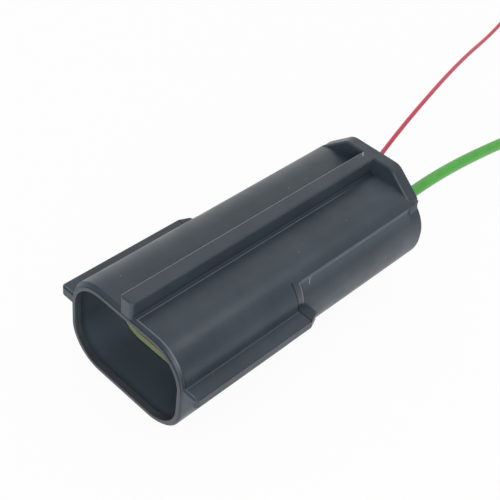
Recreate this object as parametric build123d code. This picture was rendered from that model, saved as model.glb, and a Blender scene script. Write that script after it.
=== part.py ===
from build123d import *
import math
import os

# A sealed two-way tab connector with two leads, in millimetres.
# X is the width, +Y runs from the open mouth to the wire end and +Z is up. The origin lies
# under the middle of the housing, on the surface that its two underside guides rest on.
# Lengths along Y are depths behind the mouth, and heights are counted from the mating axis.

# Hood: the open end that takes the mating half
LENGTH = 45.0
HOOD_WIDTH = 19.74
HOOD_HEIGHT = 14.1
HOOD_CORNER = 5.0
HOOD_LENGTH = 20.9
HOOD_END_BEVEL = 1.4
HOOD_END_STEP = 0.45
HOOD_FRONT_BEVEL = 0.2
LOWER_WIDTH = 19.6
LOWER_HEIGHT = 13.8
LOWER_CORNER = 5.1
LOWER_FRONT_BEVEL = 0.15
CAVITY_WIDTH = 17.7
CAVITY_HEIGHT = 11.7
CAVITY_CORNER = 4.3
CAVITY_DEPTH = 14.7
CAVITY_LEAD_IN = 0.25
CAVITY_LEAD_IN_LENGTH = 0.7
LIP_LENGTH = 0.3
LIP_WALL = 0.5

# Key rib on top and the two side rails
KEY_WIDTH = 2.12
KEY_TOP = 9.4
KEY_ROUND = 0.3
KEY_FRONT_ROUND = 0.45
KEY_FOOT = 0.2
RAIL_REACH = 2.2
RAIL_EDGE_BEVEL = 0.18
RAIL_CORNER = 0.6
RAIL_TOP = 2.5
RAIL_THICKNESS = 1.5
RAIL_LENGTH = 21.3
RAIL_BEVEL_LENGTH = 1.7
RAIL_BEVEL_WIDTH = 0.7

# Rear half: a round-sided barrel under an upper shell, closed off by a flange
BARREL_WIDTH = 19.55
BARREL_HEIGHT = 12.1
BARREL_CROWN = 6.2
BARREL_CORNER = 5.6
SHELL_EDGE = 5.6
SHELL_STEP = 0.25
FLANGE_THICKNESS = 2.0
FLANGE_TOP_WIDTH = 8.1
FLANGE_TOP_ROUND = 2.0
FLANGE_SHOULDER_WIDTH = 15.9
FLANGE_SHOULDER = 6.14
FLANGE_SHOULDER_ROUND = 1.2
FLANGE_FOOT_WIDTH = 16.9
FLANGE_FOOT = 4.2
FLANGE_EDGE_BEVEL = 0.2

# Underside: two guides that the housing rests on, and the catch for the mating half's latch
GUIDE_HEIGHT = 1.15
GUIDE_WIDTH = 1.4
GUIDE_SPACING = 8.6
GUIDE_START = 3.5
GUIDE_END = 43.6
CATCH_WIDTH = 4.0
CATCH_HEIGHT = 0.9
CATCH_START = 3.9
CATCH_LENGTH = 3.6
CATCH_LAND = 0.8

# Terminal cavities, each with a flexing lance in its roof
PITCH = 6.0
CAVITY_WALL = 2.1
CHANNEL_CLEARANCE = 0.15
LANCE_WIDTH = 1.8
LANCE_THICKNESS = 0.8
LANCE_LENGTH = 8.2
LANCE_BITE = 0.42
LANCE_SIDE_GAP = 0.2
LANCE_TRAVEL = 1.0
CHAMBER_SIZE = 3.8
BORE_DIAMETER = 4.5
BORE_LEAD_IN = 0.4

# Tab terminals, folded from thin strip
STRIP = 0.3
TAB_WIDTH = 1.8
TAB_THICKNESS = 0.64
TAB_TIP_DEPTH = 5.6
TAB_BEVEL = 0.5
BOX_WIDTH = 2.4
BOX_HEIGHT = 2.6
BOX_LENGTH = 8.0
BOX_FRONT_GAP = 0.2
WINDOW_LENGTH = 1.8
WIRE_GRIP_START = 1.8
WIRE_GRIP_LENGTH = 3.0
SEAL_GRIP_LENGTH = 2.4
SEAL_GRIP_INSET = 0.2
GRIP_GAP = 1.0
CRIMP_SQUEEZE = 0.02
STRIPPED_GAP = 0.3

# Double-lock plate: a shallow cup with a window for each tab and a blade over each lance
PLATE_CLEARANCE = 0.2
PLATE_COLLAR_DEPTH = 6.7
PLATE_COLLAR_WALL = 0.9
PLATE_FLOOR = 2.0
PLATE_SEAT_GAP = 0.3
TAB_WINDOW_CLEARANCE = 0.25
BLADE_WIDTH = 1.6
BLADE_THICKNESS = 0.6
BLADE_LENGTH = 5.9

# Wire seals
SEAL_NECK_RADIUS = 1.4
SEAL_NECK_LENGTH = 3.0
SEAL_BODY_LENGTH = 7.0
SEAL_VALLEY_RADIUS = 1.95
SEAL_LOBE_LAND = 0.6
SEAL_SQUEEZE = 0.06
SEAL_LOBES = 2
SEAL_GRIP_ON_WIRE = 0.04

# Leads: length from crimp to stripped end, insulation and conductor diameters, stripped length
LEAD_LENGTH = 150.0
GREEN_WIRE = 1.7
GREEN_CONDUCTOR = 1.1
RED_WIRE = 0.7
RED_CONDUCTOR = 0.4
GREEN_TIP = 5.0
RED_TIP = 3.6
TIP_TURN = 40.0

# Free runs of the leads, as (x, distance behind the housing, height) of the corners of their
# centrelines. Each lead first runs straight out of its seal, and touches the surface at the end.
LEAD_STRAIGHT = 2.2
LEAD_BEND = 40.0
GREEN_CORNERS = [
    (2.4, 15.9, 7.55),
    (3.4, 32.6, 6.3),
    (3.25, 53.6, GREEN_WIRE / 2 + 0.05),
    (3.4, 66.1, GREEN_WIRE / 2),
]
RED_CORNERS = [
    (-6.25, 11.9, 8.0),
    (-10.9, 27.5, 7.1),
    (-17.35, 49.0, 4.2),
    (-22.6, 69.0, RED_WIRE / 2 + 0.05),
    (-26.4, 83.5, RED_WIRE / 2),
]

# The rest of each lead lies in a flat coil, clockwise from above: radius where it starts, and
# the gap between its turns
GREEN_COIL_RADIUS = 10.6
RED_COIL_RADIUS = 4.9
COIL_GAP = 0.1

# Sizes and places that follow from the ones above
MOUTH = -LENGTH / 2
AXIS = LOWER_HEIGHT / 2 + GUIDE_HEIGHT
SIDES = {"left": -1, "right": 1}
CHANNEL_WIDTH = BOX_WIDTH + 2 * CHANNEL_CLEARANCE
CHANNEL_HEIGHT = BOX_HEIGHT + 2 * CHANNEL_CLEARANCE
CHANNEL_FRONT = CAVITY_DEPTH + CAVITY_WALL
BOX_FRONT = CHANNEL_FRONT + BOX_FRONT_GAP
BOX_REAR = BOX_FRONT + BOX_LENGTH
WIRE_GRIP_FRONT = BOX_REAR + WIRE_GRIP_START
WIRE_GRIP_REAR = WIRE_GRIP_FRONT + WIRE_GRIP_LENGTH
SEAL_GRIP_FRONT = WIRE_GRIP_REAR + GRIP_GAP
SEAL_GRIP_REAR = SEAL_GRIP_FRONT + SEAL_GRIP_LENGTH
SEAL_FRONT = SEAL_GRIP_FRONT + SEAL_GRIP_INSET
SEAL_BODY_FRONT = SEAL_FRONT + SEAL_NECK_LENGTH
SEAL_REAR = SEAL_BODY_FRONT + SEAL_BODY_LENGTH
BORE_FRONT = SEAL_BODY_FRONT
LANCE_TIP = BOX_FRONT + 1.8
LANCE_ROOT = LANCE_TIP + LANCE_LENGTH
LANCE_UNDER = CHANNEL_HEIGHT / 2
LANCE_TOP = LANCE_UNDER + LANCE_THICKNESS
PLATE_FLOOR_REAR = CAVITY_DEPTH - PLATE_SEAT_GAP
PLATE_FLOOR_FRONT = PLATE_FLOOR_REAR - PLATE_FLOOR
SEAL_END = MOUTH + SEAL_REAR
INSULATION_FRONT = WIRE_GRIP_REAR + STRIPPED_GAP


def view(depth):
    """The plane across the housing at a depth, seen from the mouth, centred on the mating axis."""
    return Plane(origin=(0, MOUTH + depth, AXIS), x_dir=(1, 0, 0), z_dir=(0, -1, 0))


def prism(profile, front, rear):
    """A profile seen from the mouth, run straight from one depth to another."""
    return extrude(view(rear) * profile, amount=rear - front)


def side_prism(points, width, x=0.0):
    """A profile of (depth, height) points, given a width about x."""
    plane = Plane(origin=(x - width / 2, MOUTH, AXIS), x_dir=(0, 1, 0), z_dir=(1, 0, 0))
    return extrude(plane * make_face(Polyline(*points, close=True)), amount=width)


def top_prism(points, low, high):
    """A profile of (x, depth) points seen from above, between two heights."""
    plane = Plane(origin=(0, MOUTH, AXIS + low))
    return extrude(plane * make_face(Polyline(*points, close=True)), amount=high - low)


def cavity_profile(inset=0.0):
    width = CAVITY_WIDTH - 2 * inset
    height = CAVITY_HEIGHT - 2 * inset
    return RectangleRounded(width, height, CAVITY_CORNER - inset)


def hood_profile():
    return RectangleRounded(HOOD_WIDTH, HOOD_HEIGHT, HOOD_CORNER)


def flange_profile():
    """Flat top and sloping shoulders, down to a foot on each side of the barrel."""
    half = [
        (FLANGE_TOP_WIDTH / 2, KEY_TOP),
        (FLANGE_SHOULDER_WIDTH / 2, FLANGE_SHOULDER),
        (FLANGE_FOOT_WIDTH / 2, FLANGE_FOOT),
    ]
    mirrored = [(-x, z) for x, z in reversed(half)]
    outline = make_face(Polyline(*half, *mirrored, close=True))
    corners = outline.vertices().group_by(Axis.Y)
    outline = fillet(corners[-1], FLANGE_TOP_ROUND)
    shoulders = [v for v in outline.vertices() if abs(v.Y - FLANGE_SHOULDER) < 0.01]
    return fillet(shoulders, FLANGE_SHOULDER_ROUND)


def outer_edges(solid, depth):
    """The outline of a solid's flat end at a depth."""
    ends = solid.faces().filter_by(Axis.Y)
    face = min(ends, key=lambda f: abs(f.center().Y - MOUTH - depth))
    return face.outer_wire().edges()


def hood_body():
    """The hood outside: a thin lip, a stepped-out upper half over a plainer lower half, and a
    bevel down to the barrel at the rear."""
    bevel_start = HOOD_LENGTH - HOOD_END_BEVEL
    lip = prism(cavity_profile(-CAVITY_LEAD_IN - LIP_WALL), 0, LIP_LENGTH * 3)
    upper_half = Pos(0, RAIL_TOP - RAIL_THICKNESS / 2 + HOOD_HEIGHT / 2) * Rectangle(
        2 * HOOD_WIDTH, HOOD_HEIGHT
    )
    lower_profile = RectangleRounded(LOWER_WIDTH, LOWER_HEIGHT, LOWER_CORNER)
    upper = prism(hood_profile(), LIP_LENGTH, bevel_start)
    upper = chamfer(outer_edges(upper, LIP_LENGTH), HOOD_FRONT_BEVEL)
    upper &= prism(upper_half, 0, LENGTH)
    lower = prism(lower_profile, LIP_LENGTH / 2, bevel_start)
    lower = chamfer(outer_edges(lower, LIP_LENGTH / 2), LOWER_FRONT_BEVEL)
    slope = math.degrees(math.atan2(HOOD_END_STEP, HOOD_END_BEVEL))
    body = lip + upper + lower
    for profile in (hood_profile() & upper_half, lower_profile):
        end = view(bevel_start) * profile
        body += extrude(end, amount=HOOD_END_BEVEL, dir=(0, 1, 0), taper=slope)
    return body


def barrel_profile():
    """Round-sided, fuller above the axis, with a shoulder that fills in under the shell's edge."""
    crown = RectangleRounded(BARREL_WIDTH, 2 * BARREL_CROWN, BARREL_CORNER)
    above_axis = Pos(0, BARREL_CROWN) * Rectangle(BARREL_WIDTH, 2 * BARREL_CROWN)
    corner_height = HOOD_HEIGHT / 2 - HOOD_CORNER
    edge_reach = math.sqrt(HOOD_CORNER**2 - (SHELL_EDGE - corner_height) ** 2)
    shoulder_width = HOOD_WIDTH - 2 * (HOOD_CORNER - edge_reach + SHELL_STEP)
    shoulder = Pos(0, SHELL_EDGE / 2) * Rectangle(shoulder_width, SHELL_EDGE)
    return SlotOverall(BARREL_WIDTH, BARREL_HEIGHT) + (crown & above_axis) + shoulder


def rear_body():
    """The barrel, the upper shell that carries the hood's top line over it, and the end flange."""
    above_edge = Pos(0, SHELL_EDGE + HOOD_HEIGHT / 2) * Rectangle(HOOD_WIDTH, HOOD_HEIGHT)
    shell = hood_profile() & above_edge
    shell_front = HOOD_LENGTH - 2 * HOOD_END_BEVEL
    flange_front = LENGTH - FLANGE_THICKNESS
    body = prism(barrel_profile(), shell_front, LENGTH)
    body += prism(shell, shell_front, flange_front + FLANGE_THICKNESS / 2)
    flange = prism(flange_profile(), flange_front, LENGTH)
    edges = outer_edges(flange, flange_front) + outer_edges(flange, LENGTH)
    return body + chamfer(edges, FLANGE_EDGE_BEVEL)


def key_rib():
    """The rib along the top, rounded where it is seen, on a narrow sloping foot."""
    height = KEY_TOP - CAVITY_HEIGHT / 2 - CAVITY_LEAD_IN - LIP_WALL / 2
    profile = Pos(0, KEY_TOP - height / 2) * Rectangle(KEY_WIDTH, height)
    rear = LENGTH - FLANGE_THICKNESS / 2
    rib = prism(profile, 0.05, rear)
    rib = fillet(rib.faces().sort_by(Axis.Y)[0].edges().filter_by(Axis.Z), KEY_FRONT_ROUND)
    top_edges = rib.faces().sort_by(Axis.Z)[-1].edges()
    seen = [e for e in top_edges if e.center().Y < LENGTH / 2 - FLANGE_THICKNESS]
    rib = fillet(seen, KEY_ROUND)
    top = HOOD_HEIGHT / 2
    half_foot = KEY_WIDTH / 2 + KEY_FOOT
    slope = [(-half_foot, top), (-KEY_WIDTH / 2, top + KEY_FOOT)]
    slope += [(KEY_WIDTH / 2, top + KEY_FOOT), (half_foot, top)]
    base = [(half_foot, top - KEY_FOOT), (-half_foot, top - KEY_FOOT)]
    foot = make_face(Polyline(*slope, *base, close=True))
    return rib + prism(foot, LIP_LENGTH + HOOD_FRONT_BEVEL, rear)


def side_rail(side):
    """A flat rail along the hood's side, with rounded corners and its rear outer one cut back."""
    root = side * (HOOD_WIDTH / 2 - 0.6)
    tip = side * (HOOD_WIDTH / 2 + RAIL_REACH)
    points = [
        (root, 0.2),
        (tip, 0.2),
        (tip, RAIL_LENGTH - RAIL_BEVEL_LENGTH),
        (tip - side * RAIL_BEVEL_WIDTH, RAIL_LENGTH),
        (root, RAIL_LENGTH),
    ]
    rail = top_prism(points, RAIL_TOP - RAIL_THICKNESS, RAIL_TOP)
    inner = abs(root) + 0.01
    corners = [e for e in rail.edges().filter_by(Axis.Z) if abs(e.center().X) > inner]
    rail = fillet(corners, RAIL_CORNER)
    top = rail.faces().sort_by(Axis.Z)[-1]
    bottom = rail.faces().sort_by(Axis.Z)[0]
    seen = [e for e in top.edges() + bottom.edges() if abs(e.center().X) > inner]
    return chamfer(seen, RAIL_EDGE_BEVEL)


def underside():
    """The two guides under the housing and the ramped catch between them."""
    rest = -AXIS
    top = -BARREL_HEIGHT / 2 + 1.4
    guide = [
        (GUIDE_START, top),
        (GUIDE_START, rest + GUIDE_HEIGHT / 2),
        (GUIDE_START + GUIDE_HEIGHT / 2, rest),
        (GUIDE_END - GUIDE_HEIGHT, rest),
        (GUIDE_END, rest + GUIDE_HEIGHT),
        (GUIDE_END, top),
    ]
    wall = -LOWER_HEIGHT / 2 + 0.4
    crest = -LOWER_HEIGHT / 2 - CATCH_HEIGHT
    catch = [
        (CATCH_START, wall),
        (CATCH_START, -LOWER_HEIGHT / 2),
        (CATCH_START + CATCH_LENGTH - CATCH_LAND, crest),
        (CATCH_START + CATCH_LENGTH, crest),
        (CATCH_START + CATCH_LENGTH, wall),
    ]
    pieces = [side_prism(guide, GUIDE_WIDTH, s * GUIDE_SPACING / 2) for s in SIDES.values()]
    return pieces + [side_prism(catch, CATCH_WIDTH)]


def terminal_room(x):
    """The space for one terminal: tab slot, channel, crimp chamber and seal bore."""
    tab = Rectangle(TAB_WIDTH + 2 * CHANNEL_CLEARANCE, TAB_THICKNESS + 2 * CHANNEL_CLEARANCE)
    channel = Rectangle(CHANNEL_WIDTH, CHANNEL_HEIGHT)
    room = prism(Pos(x, 0) * tab, CAVITY_DEPTH - 0.5, CHANNEL_FRONT + 0.5)
    room += prism(Pos(x, 0) * channel, CHANNEL_FRONT, WIRE_GRIP_FRONT + 0.5)
    chamber = Rectangle(CHAMBER_SIZE, CHAMBER_SIZE)
    room += prism(Pos(x, 0) * chamber, WIRE_GRIP_FRONT, BORE_FRONT + 0.5)
    bore = prism(Pos(x, 0) * Circle(BORE_DIAMETER / 2), BORE_FRONT, LENGTH + 0.5)
    lead_in = view(LENGTH) * Pos(x, 0) * Circle(BORE_DIAMETER / 2 + BORE_LEAD_IN)
    return room + bore + extrude(lead_in, amount=BORE_LEAD_IN, taper=45)


def lance_slot(x):
    """The space over the channel in which the lance flexes and the plate's blade slides."""
    width = LANCE_WIDTH + 2 * LANCE_SIDE_GAP
    height = LANCE_THICKNESS + LANCE_TRAVEL + 0.3
    profile = Pos(x, LANCE_UNDER - 0.3 + height / 2) * Rectangle(width, height)
    return prism(profile, CAVITY_DEPTH - 0.5, LANCE_ROOT)


def lance(x):
    """A springy arm rooted at the rear, whose nose drops into the terminal's window."""
    nose = LANCE_UNDER - CHANNEL_CLEARANCE - LANCE_BITE
    profile = [
        (LANCE_TIP, LANCE_TOP),
        (LANCE_TIP, nose),
        (LANCE_TIP + 0.4, nose),
        (LANCE_TIP + WINDOW_LENGTH - 0.2, LANCE_UNDER),
        (LANCE_ROOT + 0.2, LANCE_UNDER),
        (LANCE_ROOT + 0.2, LANCE_TOP),
    ]
    return side_prism(profile, LANCE_WIDTH, x)


def hood_cavity():
    """The space that the mating half fills, with a lead-in at the mouth."""
    slope = math.degrees(math.atan2(CAVITY_LEAD_IN, CAVITY_LEAD_IN_LENGTH))
    mouth = view(0) * cavity_profile(-CAVITY_LEAD_IN)
    lead_in = extrude(mouth, amount=CAVITY_LEAD_IN_LENGTH, dir=(0, 1, 0), taper=slope)
    return lead_in + prism(cavity_profile(), CAVITY_LEAD_IN_LENGTH / 2, CAVITY_DEPTH)


def cap_housing():
    """The one moulding that carries everything else."""
    body = hood_body() + rear_body() + key_rib()
    body += [side_rail(side) for side in SIDES.values()]
    body += underside()
    body -= hood_cavity()
    for side in SIDES.values():
        x = side * PITCH / 2
        body -= terminal_room(x)
        body -= lance_slot(x)
        body += lance(x)
    return body


def double_lock_plate():
    """The cup that closes over the terminals' lances, with its collar facing the mouth."""
    outer = prism(cavity_profile(PLATE_CLEARANCE), PLATE_COLLAR_DEPTH, PLATE_FLOOR_REAR)
    inner_profile = cavity_profile(PLATE_CLEARANCE + PLATE_COLLAR_WALL)
    plate = outer - prism(inner_profile, PLATE_COLLAR_DEPTH - 0.5, PLATE_FLOOR_FRONT)
    window = Rectangle(
        TAB_WIDTH + 2 * TAB_WINDOW_CLEARANCE, TAB_THICKNESS + 2 * TAB_WINDOW_CLEARANCE
    )
    blade = Rectangle(BLADE_WIDTH, BLADE_THICKNESS)
    blade_height = LANCE_TOP + LANCE_TRAVEL / 2
    for side in SIDES.values():
        x = side * PITCH / 2
        plate -= prism(Pos(x, 0) * window, PLATE_FLOOR_FRONT - 0.5, PLATE_FLOOR_REAR + 0.5)
        blade_front = PLATE_FLOOR_REAR - 0.5
        blade_rear = PLATE_FLOOR_REAR + BLADE_LENGTH
        plate += prism(Pos(x, blade_height) * blade, blade_front, blade_rear)
    return plate


def tab_blade(x):
    """The flat tab, bevelled on its four sides at the tip."""
    half_width = TAB_WIDTH / 2
    half_thickness = TAB_THICKNESS / 2
    slope = TAB_BEVEL * 0.4
    rear = BOX_FRONT + STRIP
    thickness = [
        (TAB_TIP_DEPTH, half_thickness - slope),
        (TAB_TIP_DEPTH + TAB_BEVEL, half_thickness),
        (rear, half_thickness),
        (rear, -half_thickness),
        (TAB_TIP_DEPTH + TAB_BEVEL, -half_thickness),
        (TAB_TIP_DEPTH, slope - half_thickness),
    ]
    width = [
        (x + half_width - slope, TAB_TIP_DEPTH),
        (x + half_width, TAB_TIP_DEPTH + TAB_BEVEL),
        (x + half_width, rear),
        (x - half_width, rear),
        (x - half_width, TAB_TIP_DEPTH + TAB_BEVEL),
        (x - half_width + slope, TAB_TIP_DEPTH),
    ]
    return side_prism(thickness, TAB_WIDTH, x) & top_prism(width, -TAB_WIDTH, TAB_WIDTH)


def crimped_section(conductor):
    """The strands' outline where the grip presses them together: six-sided."""
    return RegularPolygon(conductor / 2, 6, major_radius=False)


def tab_terminal(x, conductor):
    """A folded terminal: tab, box with a lance window, wire grip and seal grip."""
    wall = STRIP
    box = prism(Pos(x, 0) * Rectangle(BOX_WIDTH, BOX_HEIGHT), BOX_FRONT, BOX_REAR)
    hollow = Rectangle(BOX_WIDTH - 2 * wall, BOX_HEIGHT - 2 * wall)
    box -= prism(Pos(x, 0) * hollow, BOX_FRONT + wall, BOX_REAR + 1)
    window_front = LANCE_TIP - 0.15
    window = [
        (window_front, 0.4),
        (window_front, BOX_HEIGHT),
        (window_front + WINDOW_LENGTH, BOX_HEIGHT),
        (window_front + WINDOW_LENGTH, 0.4),
    ]
    box -= side_prism(window, BOX_WIDTH - 2 * wall, x)
    floor_height = -BOX_HEIGHT / 2 + wall / 2
    floor = prism(
        Pos(x, floor_height) * Rectangle(BOX_WIDTH * 0.7, wall), BOX_REAR - 1, SEAL_GRIP_REAR
    )
    grip_bottom = -BOX_HEIGHT / 2
    grip_top = conductor / 2 + wall
    grip_height = grip_top - grip_bottom
    grip = Pos(x, grip_bottom + grip_height / 2) * RectangleRounded(2.1, grip_height, 0.5)
    wire_grip = prism(grip, WIRE_GRIP_FRONT, WIRE_GRIP_REAR)
    strands = crimped_section(conductor - 2 * CRIMP_SQUEEZE)
    wire_grip -= prism(Pos(x, 0) * strands, WIRE_GRIP_FRONT - 1, LENGTH)
    seal_grip = prism(
        Pos(x, 0) * Circle(SEAL_NECK_RADIUS + wall), SEAL_GRIP_FRONT, SEAL_GRIP_REAR
    )
    terminal = tab_blade(x) + box + floor + wire_grip + seal_grip
    neck_radius = SEAL_NECK_RADIUS - CRIMP_SQUEEZE
    neck = prism(Pos(x, 0) * Circle(neck_radius), SEAL_GRIP_FRONT - 0.5, LENGTH)
    return terminal - neck


def wire_seal(x, wire):
    """A rubber plug: a neck that the terminal grips, and lobes that ramp up to fill the bore."""
    hole = wire / 2 - SEAL_GRIP_ON_WIRE
    crest = BORE_DIAMETER / 2 + SEAL_SQUEEZE
    lobe = SEAL_BODY_LENGTH / SEAL_LOBES
    section = [(hole, SEAL_FRONT), (SEAL_NECK_RADIUS, SEAL_FRONT)]
    section.append((SEAL_NECK_RADIUS, SEAL_BODY_FRONT))
    for number in range(SEAL_LOBES):
        start = SEAL_BODY_FRONT + number * lobe
        section.append((SEAL_VALLEY_RADIUS, start))
        section.append((crest, start + lobe - SEAL_LOBE_LAND))
        section.append((crest, start + lobe))
    section.append((hole, SEAL_REAR))
    plane = Plane(origin=(x, MOUTH, AXIS), x_dir=(1, 0, 0), z_dir=(0, 0, 1))
    face = plane * make_face(Polyline(*section, close=True))
    return revolve(face, Axis((x, 0, AXIS), (0, 1, 0)))


def lead_route(x, corners):
    """The centreline's corners in the housing's frame, from the wire seal to the coil."""
    rear = MOUTH + LENGTH
    straight = [(x, SEAL_END, AXIS), (x, rear + LEAD_STRAIGHT, AXIS)]
    return straight + [(at, rear + behind, height) for at, behind, height in corners]


def lead_radii(route):
    """The arc at each corner of a route: as large as its two runs allow, up to the usual bend."""
    points = [Vector(*p) for p in route]
    runs = [b - a for a, b in zip(points, points[1:])]
    radii = []
    for before, after in zip(runs, runs[1:]):
        half_turn = math.radians(before.get_angle(after) / 2)
        room = 0.45 * min(before.length, after.length)
        radii.append(min(room / math.tan(half_turn), LEAD_BEND))
    return radii


def lead_path(route):
    return FilletPolyline(*[Vector(*p) for p in route], radius=lead_radii(route))


def lead(x, route, diameter, name):
    """The wire from its crimp, through the seal and along its route to the coil."""
    path = lead_path(route)
    start = Plane(origin=route[0], z_dir=(0, 1, 0))
    tube = sweep(start * Circle(diameter / 2), path=path)
    section = math.pi * diameter**2 / 4
    print(name, "radii", [round(r, 1) for r in lead_radii(route)])
    print(name, "free length", round(path.length, 1), "volume", round(tube.volume, 2))
    print(name, "section x length", round(section * path.length, 2))
    inner = prism(Pos(x, 0) * Circle(diameter / 2), INSULATION_FRONT, SEAL_REAR)
    return tube + inner


class FlatCoil:
    """The rest of a lead: where its turns lie on the surface and where the wire ends."""

    def __init__(self, route, radius, diameter):
        pitch = diameter + COIL_GAP
        inside = SEAL_REAR - INSULATION_FRONT
        rest = LEAD_LENGTH - inside - lead_path(route).length
        run = Vector(*route[-1]) - Vector(*route[-2])
        heading = math.atan2(run.Y, run.X)
        narrowing = pitch / (2 * math.pi)
        swept = (radius - math.sqrt(radius**2 - 2 * narrowing * rest)) / narrowing
        self.diameter = diameter
        self.radius = radius
        self.last_radius = radius - narrowing * swept
        self.centre = Vector(
            route[-1][0] + radius * math.sin(heading), route[-1][1] - radius * math.cos(heading)
        )
        self.last_angle = heading + math.pi / 2 - swept
        self.turns = swept / (2 * math.pi)

    def ring(self):
        """The space that the turns fill."""
        outer = self.radius + self.diameter / 2 + COIL_GAP
        inner = self.last_radius - self.diameter / 2 - COIL_GAP
        ring = Pos(self.centre.X, self.centre.Y) * (Circle(outer) - Circle(inner))
        return extrude(ring, amount=self.diameter + COIL_GAP)

    def stripped_tip(self, conductor, length):
        """The bare conductor, from the wire's end into the middle of the coil."""
        angle = self.last_angle
        start = self.centre + self.last_radius * Vector(math.cos(angle), math.sin(angle))
        aim = angle - math.pi / 2 - math.radians(TIP_TURN)
        plane = Plane(
            origin=(start.X, start.Y, self.diameter / 2),
            z_dir=(math.cos(aim), math.sin(aim), 0),
        )
        print("coil turns", round(self.turns, 2), "centre", self.centre, "end", start)
        return extrude(plane * Circle(conductor / 2), amount=length)


def crimped_conductor(x, conductor):
    strands = Pos(x, 0) * crimped_section(conductor)
    return prism(strands, WIRE_GRIP_FRONT - 0.5, INSULATION_FRONT)


red_x = -PITCH / 2
green_x = PITCH / 2
red_route = lead_route(red_x, RED_CORNERS)
green_route = lead_route(green_x, GREEN_CORNERS)
red_coil = FlatCoil(red_route, RED_COIL_RADIUS, RED_WIRE)
green_coil = FlatCoil(green_route, GREEN_COIL_RADIUS, GREEN_WIRE)

parts = {
    "cap_housing": cap_housing(),
    "double_lock_plate": double_lock_plate(),
    "tab_terminal_left": tab_terminal(red_x, RED_CONDUCTOR),
    "tab_terminal_right": tab_terminal(green_x, GREEN_CONDUCTOR),
    "wire_seal_left": wire_seal(red_x, RED_WIRE),
    "wire_seal_right": wire_seal(green_x, GREEN_WIRE),
    "red_conductor_crimped": crimped_conductor(red_x, RED_CONDUCTOR),
    "green_conductor_crimped": crimped_conductor(green_x, GREEN_CONDUCTOR),
    "red_wire": lead(red_x, red_route, RED_WIRE, "red_wire"),
    "green_wire": lead(green_x, green_route, GREEN_WIRE, "green_wire"),
    "red_wire_coil": red_coil.ring(),
    "green_wire_coil": green_coil.ring(),
    "red_wire_tip": red_coil.stripped_tip(RED_CONDUCTOR, RED_TIP),
    "green_wire_tip": green_coil.stripped_tip(GREEN_CONDUCTOR, GREEN_TIP),
}

os.makedirs("parts", exist_ok=True)
for name, solid in parts.items():
    export_step(solid, f"parts/{name}.step")
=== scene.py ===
import math

import bpy
from mathutils import Matrix, Vector


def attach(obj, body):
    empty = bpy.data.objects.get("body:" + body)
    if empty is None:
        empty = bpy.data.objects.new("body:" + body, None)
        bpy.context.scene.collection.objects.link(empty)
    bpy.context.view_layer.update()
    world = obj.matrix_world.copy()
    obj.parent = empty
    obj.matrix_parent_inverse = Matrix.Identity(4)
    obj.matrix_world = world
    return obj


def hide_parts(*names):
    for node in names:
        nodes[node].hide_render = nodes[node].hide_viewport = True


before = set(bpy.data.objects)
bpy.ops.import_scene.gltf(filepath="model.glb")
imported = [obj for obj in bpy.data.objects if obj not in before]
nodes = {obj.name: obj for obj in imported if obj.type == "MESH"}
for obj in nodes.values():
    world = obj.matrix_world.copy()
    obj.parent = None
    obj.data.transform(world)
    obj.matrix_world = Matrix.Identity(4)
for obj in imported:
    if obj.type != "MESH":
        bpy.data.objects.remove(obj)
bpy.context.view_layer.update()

MM = 0.001


def linear(sheet_colour):
    """An sRGB hex value as linear colour with full alpha."""
    channels = [int(sheet_colour[i : i + 2], 16) / 255 for i in (0, 2, 4)]
    return [
        c / 12.92 if c <= 0.04045 else ((c + 0.055) / 1.055) ** 2.4 for c in channels
    ] + [1.0]


# Camera, at the photograph's viewpoint: its place in mm and its turn in degrees
CAMERA_PLACE = (61.30, -76.98, 100.54)
CAMERA_TURN = (47.6495, -5.7535, 44.4440)

camera_data = bpy.data.cameras.new("camera")
camera_data.sensor_width = 36
camera_data.lens = 74.61
camera_data.clip_start = 0.005
camera_data.clip_end = 20
camera = bpy.data.objects.new("camera", camera_data)
bpy.context.scene.collection.objects.link(camera)
camera.location = [side * MM for side in CAMERA_PLACE]
camera.rotation_euler = [math.radians(angle) for angle in CAMERA_TURN]
bpy.context.scene.camera = camera


# Leads

# Lengths in mm and angles in radians
COIL_GAP = 0.1
COIL_POINTS = 16
TIP_TURN = math.radians(40)
STRAND_SIDES = 10
STRAND_STEPS = 14
RING_SHIFT = 0.2
SMOOTH_BELOW = math.radians(40)

# Sizes of each lead in mm: the corners of its centreline from the crimp to where the coil starts,
# the coil's radius there, the length that is coiled, and the strands of its stripped end
GREEN = {
    "diameter": 1.7,
    "route": [
        (3.0, 7.6, 8.05),
        (3.0, 18.5, 8.05),
        (3.0, 24.7, 8.05),
        (2.4, 38.4, 7.55),
        (3.4, 55.1, 6.3),
        (3.25, 76.1, 0.9),
        (3.4, 88.6, 0.85),
    ],
    "coil radius": 10.6,
    "coiled length": 68.3,
    "strand diameter": 0.22,
    "strands in each ring": (1, 6, 12),
    "lay": 16,
    "bare length": 5.0,
}
RED = {
    "diameter": 0.7,
    "route": [
        (-3.0, 7.6, 8.05),
        (-3.0, 18.5, 8.05),
        (-3.0, 24.7, 8.05),
        (-6.25, 34.4, 8.0),
        (-10.9, 50.0, 7.1),
        (-17.35, 71.5, 4.2),
        (-22.6, 91.5, 0.4),
        (-26.4, 106.0, 0.35),
    ],
    "coil radius": 4.9,
    "coiled length": 47.8,
    "strand diameter": 0.133,
    "strands in each ring": (1, 6),
    "lay": 8,
    "bare length": 3.6,
}


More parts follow.
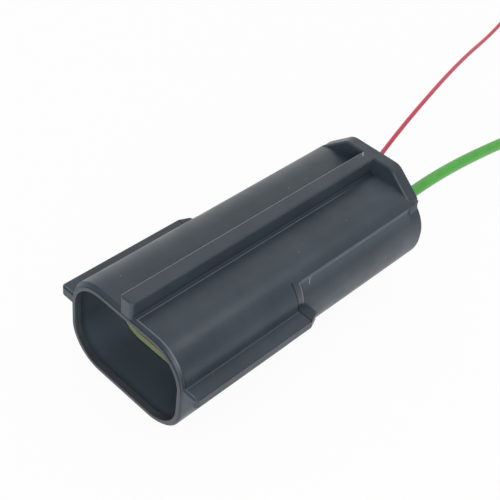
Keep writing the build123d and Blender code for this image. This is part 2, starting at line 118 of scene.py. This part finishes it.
def coil_points(lead):
    """Control points of the flat coil that winds inwards from the route's end, and its last
    angle. The points stand off by what the spline cuts inside them."""
    (x0, y0, _), (x1, y1, z) = lead["route"][-2:]
    radius = lead["coil radius"]
    heading = math.atan2(y1 - y0, x1 - x0)
    centre_x = x1 + radius * math.sin(heading)
    centre_y = y1 - radius * math.cos(heading)
    narrowing = (lead["diameter"] + COIL_GAP) / math.tau
    swept = (radius - math.sqrt(radius**2 - 2 * narrowing * lead["coiled length"])) / narrowing
    stand_off = 1 / math.cos(math.pi / COIL_POINTS)
    steps = round(COIL_POINTS * swept / math.tau)
    points = []
    for step in range(1, steps + 1):
        turned = swept * step / steps
        angle = heading + math.pi / 2 - turned
        out = (radius - narrowing * turned) * (stand_off if step < steps else 1)
        points.append((centre_x + out * math.cos(angle), centre_y + out * math.sin(angle), z))
    return points, angle


def laid_strand(lead, ring):
    """One drawn strand, wound in its ring round the conductor's middle and cut square."""
    bpy.ops.object.select_all(action="DESELECT")
    bpy.ops.mesh.primitive_circle_add(
        vertices=STRAND_SIDES,
        radius=lead["strand diameter"] / 2 * MM,
        fill_type="NOTHING",
        location=(ring * lead["strand diameter"] * MM, 0, 0),
    )
    strand = bpy.context.object
    bpy.ops.object.transform_apply(location=True, rotation=True, scale=True)
    screw = strand.modifiers.new("laid", "SCREW")
    screw.axis = "Z"
    screw.angle = math.tau * lead["bare length"] / lead["lay"]
    screw.screw_offset = lead["bare length"] * MM
    screw.steps = STRAND_STEPS
    screw.render_steps = STRAND_STEPS
    bpy.ops.object.modifier_apply(modifier="laid")
    bpy.ops.object.mode_set(mode="EDIT")
    bpy.ops.mesh.select_all(action="SELECT")
    bpy.ops.mesh.fill_holes(sides=STRAND_SIDES)
    bpy.ops.mesh.select_all(action="SELECT")
    bpy.ops.mesh.normals_make_consistent(inside=False)
    bpy.ops.object.mode_set(mode="OBJECT")
    return strand


def strand_ring(lead, ring, count):
    """A ring of strands: one is modelled, and its copies are turned round the middle."""
    strands = [laid_strand(lead, ring)]
    for _ in range(count - 1):
        bpy.ops.object.duplicate()
        strands.append(bpy.context.object)
    for place, strand in enumerate(strands):
        strand.rotation_euler.z = math.tau * place / count + RING_SHIFT * ring
    return strands


def conductor_end(name, lead):
    """The stripped end of a lead: rings of strands laid round one another, where the coil's
    insulation ends."""
    strands = []
    for ring, count in enumerate(lead["strands in each ring"]):
        strands += strand_ring(lead, ring, count)
    bpy.ops.object.select_all(action="DESELECT")
    for strand in strands:
        strand.select_set(True)
    bpy.context.view_layer.objects.active = strands[0]
    bpy.ops.object.transform_apply(location=True, rotation=True, scale=True)
    bpy.ops.object.join()
    bundle = bpy.context.object
    bundle.name = name
    bpy.ops.object.shade_smooth_by_angle(angle=SMOOTH_BELOW)
    points, angle = coil_points(lead)
    heading = angle - math.pi / 2 - TIP_TURN
    aim = Vector((math.cos(heading), math.sin(heading), 0))
    turn = Vector((0, 0, 1)).rotation_difference(aim).to_matrix().to_4x4()
    bundle.data.transform(Matrix.Translation(Vector(points[-1]) * MM) @ turn)
    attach(bundle, "housing")
    return bundle


def insulated_wire(name, lead, node_names):
    """A lead as one smooth spline through its route and its coil. Each point's radius is 1 mm, so
    the bevel's depth is in mm."""
    turns, _ = coil_points(lead)
    points = lead["route"] + turns
    curve = bpy.data.curves.new(name, "CURVE")
    curve.dimensions = "3D"
    spline = curve.splines.new("NURBS")
    spline.points.add(len(points) - 1)
    for control, (x, y, z) in zip(spline.points, points):
        control.co = (x * MM, y * MM, z * MM, 1)
        control.radius = MM
    spline.order_u = 3
    spline.use_endpoint_u = True
    spline.resolution_u = 12
    curve.bevel_depth = lead["diameter"] / 2
    curve.bevel_resolution = 8
    curve.use_fill_caps = True
    piece = bpy.data.objects.new(name, curve)
    bpy.context.scene.collection.objects.link(piece)
    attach(piece, "housing")
    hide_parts(*node_names)
    return piece


green_strands = conductor_end("green_strands", GREEN)
red_strands = conductor_end("red_strands", RED)
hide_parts("green_wire_tip")
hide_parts("red_wire_tip")
green_lead = insulated_wire("green_lead", GREEN, ("green_wire", "green_wire_coil"))
red_lead = insulated_wire("red_lead", RED, ("red_wire", "red_wire_coil"))


# Materials

# A Mix node's sockets, which share their names
NUMBER_A = 2
NUMBER_B = 3
COLOUR_A = 6
COLOUR_B = 7
COLOUR_OUT = 2


def add(tree, kind, settings=None, links=None):
    """Adds a node, sets its properties by name and its sockets by name or number, and links its
    inputs."""
    node = tree.nodes.new(kind)
    for key, value in (settings or {}).items():
        if isinstance(key, int) or key in node.inputs:
            node.inputs[key].default_value = value
        else:
            setattr(node, key, value)
    for key, source in (links or {}).items():
        tree.links.new(source, node.inputs[key])
    return node


def new_material(name, colour, roughness, ior=1.5, metallic=0.0):
    """A named material with one Principled shader, its tree and its object coordinates."""
    material = bpy.data.materials.new(name)
    material.use_nodes = True
    material.diffuse_color = linear(colour)
    tree = material.node_tree
    shader = tree.nodes["Principled BSDF"]
    shader.inputs["Base Color"].default_value = linear(colour)
    shader.inputs["Roughness"].default_value = roughness
    shader.inputs["Metallic"].default_value = metallic
    if not metallic:
        shader.inputs["IOR"].default_value = ior
    place = add(tree, "ShaderNodeTexCoord").outputs["Object"]
    return material, tree, shader, place


def cloud_share(tree, place, size_mm, levels=(0.3, 0.7)):
    """Soft clouds of a real size, as a share between zero and one."""
    grain = {"Scale": 1 / (size_mm * MM), "Detail": 2.5}
    noise = add(tree, "ShaderNodeTexNoise", grain, {"Vector": place}).outputs["Fac"]
    spread = {"From Min": levels[0], "From Max": levels[1]}
    return add(tree, "ShaderNodeMapRange", spread, {"Value": noise}).outputs["Result"]


def cloudy_colour(tree, place, size_mm, low, high, levels=(0.3, 0.7)):
    """A colour that drifts between two in soft clouds of a real size, and the clouds' share."""
    share = cloud_share(tree, place, size_mm, levels)
    colours = {"data_type": "RGBA", COLOUR_A: linear(low), COLOUR_B: linear(high)}
    colour = add(tree, "ShaderNodeMix", colours, {"Factor": share}).outputs[COLOUR_OUT]
    return colour, share


def vary_roughness(tree, shader, share, smooth, rough):
    """Roughness that follows a share between two values."""
    settings = {"To Min": smooth, "To Max": rough}
    varied = add(tree, "ShaderNodeMapRange", settings, {"Value": share})
    tree.links.new(varied.outputs["Result"], shader.inputs["Roughness"])


def grain_surface(tree, shader, place, grain_mm, depth_mm, edge_mm=0.0):
    """A grain of a real size and depth, on edges rounded by a real radius where one is given."""
    grain = {"Scale": 1 / (grain_mm * MM), "Detail": 2.0}
    height = add(tree, "ShaderNodeTexNoise", grain, {"Vector": place}).outputs["Fac"]
    settings = {"Strength": 1.0, "Distance": depth_mm * MM}
    bump = add(tree, "ShaderNodeBump", settings, {"Height": height})
    if edge_mm:
        edge = add(tree, "ShaderNodeBevel", {"samples": 6, "Radius": edge_mm * MM})
        tree.links.new(edge.outputs["Normal"], bump.inputs["Normal"])
    tree.links.new(bump.outputs["Normal"], shader.inputs["Normal"])


def reach(tree, place, steps):
    """The length of a place after some vector steps."""
    for operation, constant in steps:
        settings = {"operation": operation}
        if constant is not None:
            settings[1] = constant
        place = add(tree, "ShaderNodeVectorMath", settings, {0: place}).outputs["Vector"]
    length = add(tree, "ShaderNodeVectorMath", {"operation": "LENGTH"}, {0: place})
    return length.outputs["Value"]


# What the housing's marks are measured from, in mm, and the direction across the nick
HOUSING_AXIS = Vector((0, 0, 8.05))
MOUTH_CORNER = Vector((4.55, 0, 1.55))
PAINTED_GLINT_CENTRE = Vector((0, 1.0, 11.7))
ACROSS_NICK = Vector((0.769, 0.639, 0))


def housing_measures(tree, place):
    """The measures that place the housing's marks: x, y, z, the distance from its middle plane,
    the reach from the lines round which the mouth's corners turn, the reach from the centre of the
    painted glint, and the distance across the nick."""
    sides = add(tree, "ShaderNodeSeparateXYZ", links={"Vector": place}).outputs
    half = add(tree, "ShaderNodeMath", {"operation": "ABSOLUTE"}, {0: sides["X"]})
    across = {"operation": "DOT_PRODUCT", 1: ACROSS_NICK}
    nick = add(tree, "ShaderNodeVectorMath", across, {0: place})
    to_mouth = (
        ("SUBTRACT", HOUSING_AXIS * MM),
        ("MULTIPLY", (1, 0, 1)),
        ("ABSOLUTE", None),
        ("SUBTRACT", MOUTH_CORNER * MM),
        ("MAXIMUM", (0, 0, 0)),
    )
    to_painted_glint = (("SUBTRACT", PAINTED_GLINT_CENTRE * MM), ("MULTIPLY", (0, 1, 1)))
    return {
        "x": sides["X"],
        "y": sides["Y"],
        "z": sides["Z"],
        "half width": half.outputs["Value"],
        "mouth": reach(tree, place, to_mouth),
        "painted_glint": reach(tree, place, to_painted_glint),
        "nick": nick.outputs["Value"],
    }


# Each mark on the housing: its colour and its walls. A wall is a measure, the place in mm where the
# mark starts to show, and the place where it shows in full
# Apart from the nick, these marks paint light and shade into the colour: bright lines on edges,
# dark bands where rounded edges catch light, and paler places in the cavity and in shade.
HOUSING_MARKS = {
    # Painted shade: the mouth's lead-in darkened to the interior's dark tone.
    "lead_in_painted_shade": ("242c33", (("mouth", 4.6, 4.56), ("y", -7.0, -7.4))),
    # Painted light: the cavity's walls made paler, standing in for light reaching inside.
    "cavity_painted_light": (
        "39434c",
        (("mouth", 4.6, 4.56), ("y", -21.95, -20.9), ("y", -7.0, -7.4)),
    ),
    # Painted light: the cavity's lower walls made paler still.
    "cavity_floor_painted_light": (
        "48535e",
        (("mouth", 4.6, 4.56), ("y", -21.95, -20.9), ("y", -7.0, -7.4), ("z", 7.0, 3.4)),
    ),
    # Painted highlight: a bright line along the right part of the hood's front edge.
    "hood_front_edge_painted_highlight": (
        "606a72",
        (
            ("mouth", 4.7, 4.8), ("y", -22.09, -22.05), ("y", -21.9, -21.94),
            ("x", 1.4, 1.6), ("x", 10.1, 9.95), ("z", 12.2, 14.0),
        ),
    ),
    # Painted shade: a dark band behind the hood's front edge, darker than the panel.
    "hood_front_edge_painted_shade": (
        "232b33",
        (
            ("mouth", 4.7, 4.8), ("y", -22.3, -22.25), ("y", -21.72, -21.86),
            ("x", 1.4, 1.6), ("x", 10.1, 9.95), ("z", 10.5, 10.8), ("z", 13.6, 12.0),
        ),
    ),
    # Painted light: the barrel made paler just under the shell's overhanging edge, where the edge
    # shades it.
    "under_shell_edge_painted_light": (
        "4f5963",
        (
            ("half width", 7.6, 7.8), ("y", -1.6, -1.4), ("y", 20.5, 20.3),
            ("z", 11.4, 12.8), ("z", 13.75, 13.6),
        ),
    ),
    # Painted light: the shade right of the rib, in front of the flange, made paler.
    "by_flange_painted_light": (
        "46515a",
        (
            ("x", 1.5, 2.4), ("x", 6.6, 5.0),
            ("y", 15.0, 18.8), ("y", 20.48, 20.4), ("z", 12.6, 13.4),
        ),
    ),
    # Painted shade: the hood's rear bevel darkened to the hood's own tone.
    "rear_bevel_painted_shade": (
        "2b3640",
        (("half width", 5.5, 6.0), ("y", -3.02, -2.96), ("y", -1.6, -1.66), ("z", 13.7, 13.6)),
    ),
    # Painted shade: a dark hairline along the front edge of the hood's rear bevel.
    "rear_bevel_painted_shade_line": (
        "080c10",
        (("half width", 5.0, 5.2), ("y", -3.18, -3.12), ("y", -2.9, -2.96), ("z", 14.0, 13.9)),
    ),
    # Painted highlight: a bright line along the rear edge of the hood's rear bevel.
    "rear_bevel_edge_painted_highlight": (
        "747f86",
        (
            ("half width", 6.5, 7.0), ("half width", 10.0, 9.92),
            ("y", -1.78, -1.72), ("y", -1.56, -1.62), ("z", 10.57, 10.7), ("z", 13.65, 13.6),
        ),
    ),
    # Painted highlight: a light line where the rail's top meets the hood's side.
    "rail_root_painted_highlight": (
        "5c6770",
        (
            ("half width", 9.97, 10.01), ("half width", 10.11, 10.07),
            ("y", -22.1, -22.0), ("y", -3.1, -3.2), ("z", 10.4, 10.5), ("z", 10.7, 10.6),
        ),
    ),
    # Painted highlight: a light line along the rail's front edge.
    "rail_front_edge_painted_highlight": (
        "5c6770",
        (
            ("half width", 9.97, 10.01), ("half width", 11.8, 11.4),
            ("y", -22.1, -22.06), ("y", -21.93, -21.97), ("z", 10.4, 10.5), ("z", 10.7, 10.6),
        ),
    ),
    # Painted shade: the sloped foot of the rib darkened, on both sides.
    "rib_foot_painted_shade": (
        "252e37",
        (
            ("half width", 1.0, 1.04), ("half width", 1.32, 1.26),
            ("z", 15.0, 15.05), ("z", 15.5, 15.4),
        ),
    ),
    # Painted highlight: a thin bright line along the rib's right foot.
    "rib_foot_painted_highlight": (
        "6e777e",
        (
            ("x", 1.44, 1.49), ("x", 1.61, 1.56), ("y", -22.1, -22.0), ("y", 17.5, 12.0),
            ("z", 14.9, 15.0), ("z", 15.3, 15.2),
        ),
    ),
    # Painted highlight: a thin bright line along the rib's top left edge.
    "rib_edge_painted_highlight": (
        "98a2a8",
        (("x", -1.1, -1.06), ("x", -0.88, -0.94), ("y", 20.4, 20.2), ("z", 17.1, 17.2)),
    ),
    # Painted highlight: a small curved glint on the barrel by the hood's rear step.
    "painted_glint": (
        "8b9598",
        (
            ("painted_glint", 0.94, 0.98), ("painted_glint", 1.07, 1.03), ("x", 7.4, 7.6),
            ("y", -0.1, 0.0), ("y", 0.95, 0.85), ("z", 12.1, 12.2),
        ),
    ),
    "nick": (
        "889199",
        (
            ("nick", 12.26, 12.31), ("nick", 12.5, 12.45),
            ("x", -0.95, -0.88), ("x", -0.28, -0.35), ("y", 19.0, 19.1), ("z", 17.3, 17.4),
        ),
    ),
}


def mark_share(tree, measures, walls):
    """One between a mark's walls and zero outside them."""
    share = None
    for measure, outer, inner in walls:
        settings = {"From Min": outer * MM, "From Max": inner * MM}
        fade = add(tree, "ShaderNodeMapRange", settings, {"Value": measures[measure]})
        wall = fade.outputs["Result"]
        if share is None:
            share = wall
        else:
            both = add(tree, "ShaderNodeMath", {"operation": "MULTIPLY"}, {0: share, 1: wall})
            share = both.outputs["Value"]
    return share


SPECK_COLOUR = "8a9296"
SPECK_SPACING = 2.1
SPECK_STRENGTH = 0.8

# Where a speck shows in full and where it is gone, as shares of the spacing
SPECK_FULL = 0.02
SPECK_GONE = 0.042


def dust_specks(tree, place):
    """How strongly single specks show: most in their middles, and not at all between them."""
    cells = {"Scale": 1 / (SPECK_SPACING * MM)}
    distance = add(tree, "ShaderNodeTexVoronoi", cells, {"Vector": place}).outputs["Distance"]
    fade = {
        "From Min": SPECK_FULL,
        "From Max": SPECK_GONE,
        "To Min": SPECK_STRENGTH,
        "To Max": 0.0,
    }
    return add(tree, "ShaderNodeMapRange", fade, {"Value": distance}).outputs["Result"]


def black_pbt():
    """Black PBT, injection-moulded in a fine-eroded tool: satin, with a faint cloudy tone, pale
    dust specks and a nick.
    Its marks also paint light and shade on it: bright lines along edges, dark bands on rounded
    edges and paler shaded places."""
    material, tree, shader, place = new_material("black_pbt_moulded", "36404a", 0.38, ior=1.46)
    colour, _ = cloudy_colour(tree, place, 6, "303a43", "38424b", levels=(0.35, 0.7))
    measures = housing_measures(tree, place)
    layers = [(SPECK_COLOUR, dust_specks(tree, place))]
    for mark_colour, walls in HOUSING_MARKS.values():
        layers.append((mark_colour, mark_share(tree, measures, walls)))
    for layer_colour, share in layers:
        settings = {"data_type": "RGBA", COLOUR_B: linear(layer_colour)}
        layer = add(tree, "ShaderNodeMix", settings, {"Factor": share, COLOUR_A: colour})
        colour = layer.outputs[COLOUR_OUT]
    tree.links.new(colour, shader.inputs["Base Color"])
    patches = cloud_share(tree, place, size_mm=2.5)
    vary_roughness(tree, shader, patches, smooth=0.33, rough=0.44)
    grain_surface(tree, shader, place, grain_mm=0.16, depth_mm=0.006, edge_mm=0.1)
    return material


def yellow_pbt():
    """Unpainted yellow PBT, moulded: satin, slightly cloudy. Its colour is darkened to a dull
    olive: painted shade for the shade inside the hood.
    """
    material, tree, shader, place = new_material("yellow_pbt_moulded", "8c9570", 0.42, ior=1.54)
    cloudy, _ = cloudy_colour(tree, place, 3, "858e68", "939c77")
    tree.links.new(cloudy, shader.inputs["Base Color"])
    grain_surface(tree, shader, place, grain_mm=0.16, depth_mm=0.005)
    return material


def tinned_brass():
    """Brass strip, stamped and tin-plated: pale grey, with fine rolling lines along it."""
    material, tree, shader, place = new_material("tinned_brass_strip", "c9c8c2", 0.3, metallic=1)
    stretch = add(tree, "ShaderNodeMapping", {"Scale": (1, 0.06, 1)}, {"Vector": place})
    along = stretch.outputs["Vector"]
    streaky, lines = cloudy_colour(tree, along, 0.12, "bdbbb3", "d6d5d0")
    tree.links.new(streaky, shader.inputs["Base Color"])
    vary_roughness(tree, shader, lines, smooth=0.24, rough=0.4)
    grain_surface(tree, shader, along, grain_mm=0.12, depth_mm=0.003)
    return material


def seal_silicone():
    """Silicone rubber, moulded and oiled: matt with a soft sheen."""
    material, tree, shader, place = new_material("silicone_moulded", "b0502c", 0.5, ior=1.41)
    cloudy, _ = cloudy_colour(tree, place, 1.2, "a84a28", "b95833")
    tree.links.new(cloudy, shader.inputs["Base Color"])
    grain_surface(tree, shader, place, grain_mm=0.1, depth_mm=0.004)
    return material


def bare_copper():
    """Soft-annealed copper strand, drawn: bright, with brown tarnish in places."""
    material, tree, shader, place = new_material("copper_drawn", "c98661", 0.28, metallic=1)
    tarnished, tarnish = cloudy_colour(tree, place, 0.8, "d29069", "a8694a", levels=(0.4, 0.65))
    tree.links.new(tarnished, shader.inputs["Base Color"])
    vary_roughness(tree, shader, tarnish, smooth=0.24, rough=0.42)
    return material


def pvc(name, colour, low, high):
    """PVC insulation, extruded: satin, with a faint waviness from the die."""
    material, tree, shader, place = new_material(name, colour, 0.4, ior=1.53)
    cloudy, cloud = cloudy_colour(tree, place, 2.0, low, high)
    tree.links.new(cloudy, shader.inputs["Base Color"])
    vary_roughness(tree, shader, cloud, smooth=0.36, rough=0.46)
    grain_surface(tree, shader, place, grain_mm=0.35, depth_mm=0.008)
    return material


def paint(obj, material):
    """Gives a piece its one material."""
    obj.data.materials.clear()
    obj.data.materials.append(material)


housing_plastic = black_pbt()
lock_plastic = yellow_pbt()
terminal_metal = tinned_brass()
seal_rubber = seal_silicone()
copper = bare_copper()
green_pvc = pvc("green_pvc_extruded", "4da93e", "48a43a", "54af44")
red_pvc = pvc("red_pvc_extruded", "cc2c4e", "c6284a", "d43355")

for node_name, material in (
    ("cap_housing", housing_plastic),
    ("double_lock_plate", lock_plastic),
    ("tab_terminal_left", terminal_metal),
    ("tab_terminal_right", terminal_metal),
    ("wire_seal_left", seal_rubber),
    ("wire_seal_right", seal_rubber),
    ("red_conductor_crimped", copper),
    ("green_conductor_crimped", copper),
    ("red_wire", red_pvc),
    ("red_wire_coil", red_pvc),
    ("green_wire", green_pvc),
    ("green_wire_coil", green_pvc),
    ("red_wire_tip", copper),
    ("green_wire_tip", copper),
):
    paint(nodes[node_name], material)
paint(green_lead, green_pvc)
paint(red_lead, red_pvc)
paint(green_strands, copper)
paint(red_strands, copper)


# Floor and light

FLOOR_SIZE = 3.0
FLOOR_DROP = 0.02
PAPER_GLOW = 0.94


def share_of_rays(tree, *ray_kinds):
    """One where a ray is of one of the named kinds, zero elsewhere."""
    rays = add(tree, "ShaderNodeLightPath")
    seen = rays.outputs[ray_kinds[0]]
    for kind in ray_kinds[1:]:
        both = {0: seen, 1: rays.outputs[kind]}
        seen = add(tree, "ShaderNodeMath", {"operation": "MAXIMUM"}, both).outputs["Value"]
    return seen


def white_paper():
    """Matt white paper that the camera and reflections see nearly white, with the shadow kept."""
    material = bpy.data.materials.new("white_paper")
    material.use_nodes = True
    tree = material.node_tree
    tree.nodes.remove(tree.nodes["Principled BSDF"])
    seen = share_of_rays(tree, "Is Camera Ray", "Is Glossy Ray", "Is Transmission Ray")
    matt = add(tree, "ShaderNodeBsdfDiffuse", {"Color": linear("f6f6f6")})
    glow = add(tree, "ShaderNodeEmission", {"Color": linear("ffffff"), "Strength": 1.0})
    partly = add(tree, "ShaderNodeMath", {"operation": "MULTIPLY", 1: PAPER_GLOW}, {0: seen})
    both = {0: partly.outputs["Value"], 1: matt.outputs["BSDF"], 2: glow.outputs["Emission"]}
    mix = add(tree, "ShaderNodeMixShader", links=both)
    tree.links.new(mix.outputs["Shader"], tree.nodes["Material Output"].inputs["Surface"])
    return material


def lay_floor():
    """A wide sheet of white paper just under the housing and the leads."""
    bpy.ops.object.select_all(action="DESELECT")
    bpy.ops.mesh.primitive_plane_add(size=FLOOR_SIZE, location=(0, 0, -FLOOR_DROP * MM))
    floor = bpy.context.object
    floor.name = "floor"
    floor.data.materials.append(white_paper())


# How bright the room is as a light, and how bright reflections see its four sides
ROOM_LIGHT = 0.6
ROOM_FRONT = 0.3
ROOM_BACK = 1.1
ROOM_LEFT = 1.12
ROOM_RIGHT = 0.42

# Where the brightness starts and stops changing, as a direction's share to the back or the right
DEPTH_SPAN = (-0.6, 0.5)
WIDTH_SPAN = (-0.8, 0.7)


def light_room():
    """A white studio: even light all round, and reflections brighter at the back than at the
    front, where the room is open."""
    world = bpy.data.worlds.new("white_room")
    bpy.context.scene.world = world
    world.use_nodes = True
    tree = world.node_tree
    direction = add(tree, "ShaderNodeTexCoord").outputs["Generated"]
    sides = add(tree, "ShaderNodeSeparateXYZ", links={"Vector": direction}).outputs
    to_back = {
        "From Min": DEPTH_SPAN[0],
        "From Max": DEPTH_SPAN[1],
        "To Min": ROOM_FRONT,
        "To Max": ROOM_BACK,
    }
    to_right = {
        "From Min": WIDTH_SPAN[0],
        "From Max": WIDTH_SPAN[1],
        "To Min": ROOM_LEFT,
        "To Max": ROOM_RIGHT,
    }
    depth = add(tree, "ShaderNodeMapRange", to_back, {"Value": sides["Y"]}).outputs["Result"]
    width = add(tree, "ShaderNodeMapRange", to_right, {"Value": sides["X"]}).outputs["Result"]
    product = add(tree, "ShaderNodeMath", {"operation": "MULTIPLY"}, {0: depth, 1: width})
    glossy = share_of_rays(tree, "Is Glossy Ray")
    seen = share_of_rays(tree, "Is Camera Ray", "Is Transmission Ray")
    reflected = add(
        tree,
        "ShaderNodeMix",
        {"data_type": "FLOAT", NUMBER_A: ROOM_LIGHT},
        {"Factor": glossy, NUMBER_B: product.outputs["Value"]},
    ).outputs["Result"]
    strength = add(
        tree,
        "ShaderNodeMix",
        {"data_type": "FLOAT", NUMBER_B: 1.0},
        {"Factor": seen, NUMBER_A: reflected},
    ).outputs["Result"]
    tree.links.new(strength, tree.nodes["Background"].inputs["Strength"])
    tree.nodes["Background"].inputs["Color"].default_value = linear("ffffff")


LAMP_DISTANCE = 0.6
LAMP_AIM = Vector((0, 0.01, 0.008))

# Each lamp's direction from where it is aimed, its size in metres, and its radiance
SOFTBOXES = {
    "softbox_overhead": ((0.3, 0.3, 0.8), (0.17, 0.2), 4.5),
    "softbox_overhead_left": ((-0.47, -0.05, 0.88), (0.2, 0.3), 1.0),
    "softbox_front": ((0.55, -0.8, 0.28), (0.4, 0.35), 4.2),
}


def hang_softbox(name, direction, size, radiance):
    """An area lamp that faces the housing from a direction, with a given radiance."""
    data = bpy.data.lights.new(name, "AREA")
    data.shape = "RECTANGLE"
    data.size, data.size_y = size
    data.energy = radiance * math.pi * size[0] * size[1]
    lamp = bpy.data.objects.new(name, data)
    bpy.context.scene.collection.objects.link(lamp)
    towards = Vector(direction).normalized()
    lamp.location = towards * LAMP_DISTANCE + LAMP_AIM
    lamp.visible_camera = False
    lamp.rotation_euler = towards.to_track_quat("Z", "Y").to_euler()


lay_floor()
light_room()
for lamp_name, (direction, size, radiance) in SOFTBOXES.items():
    hang_softbox(lamp_name, direction, size, radiance)
bpy.context.scene.view_settings.view_transform = "Standard"
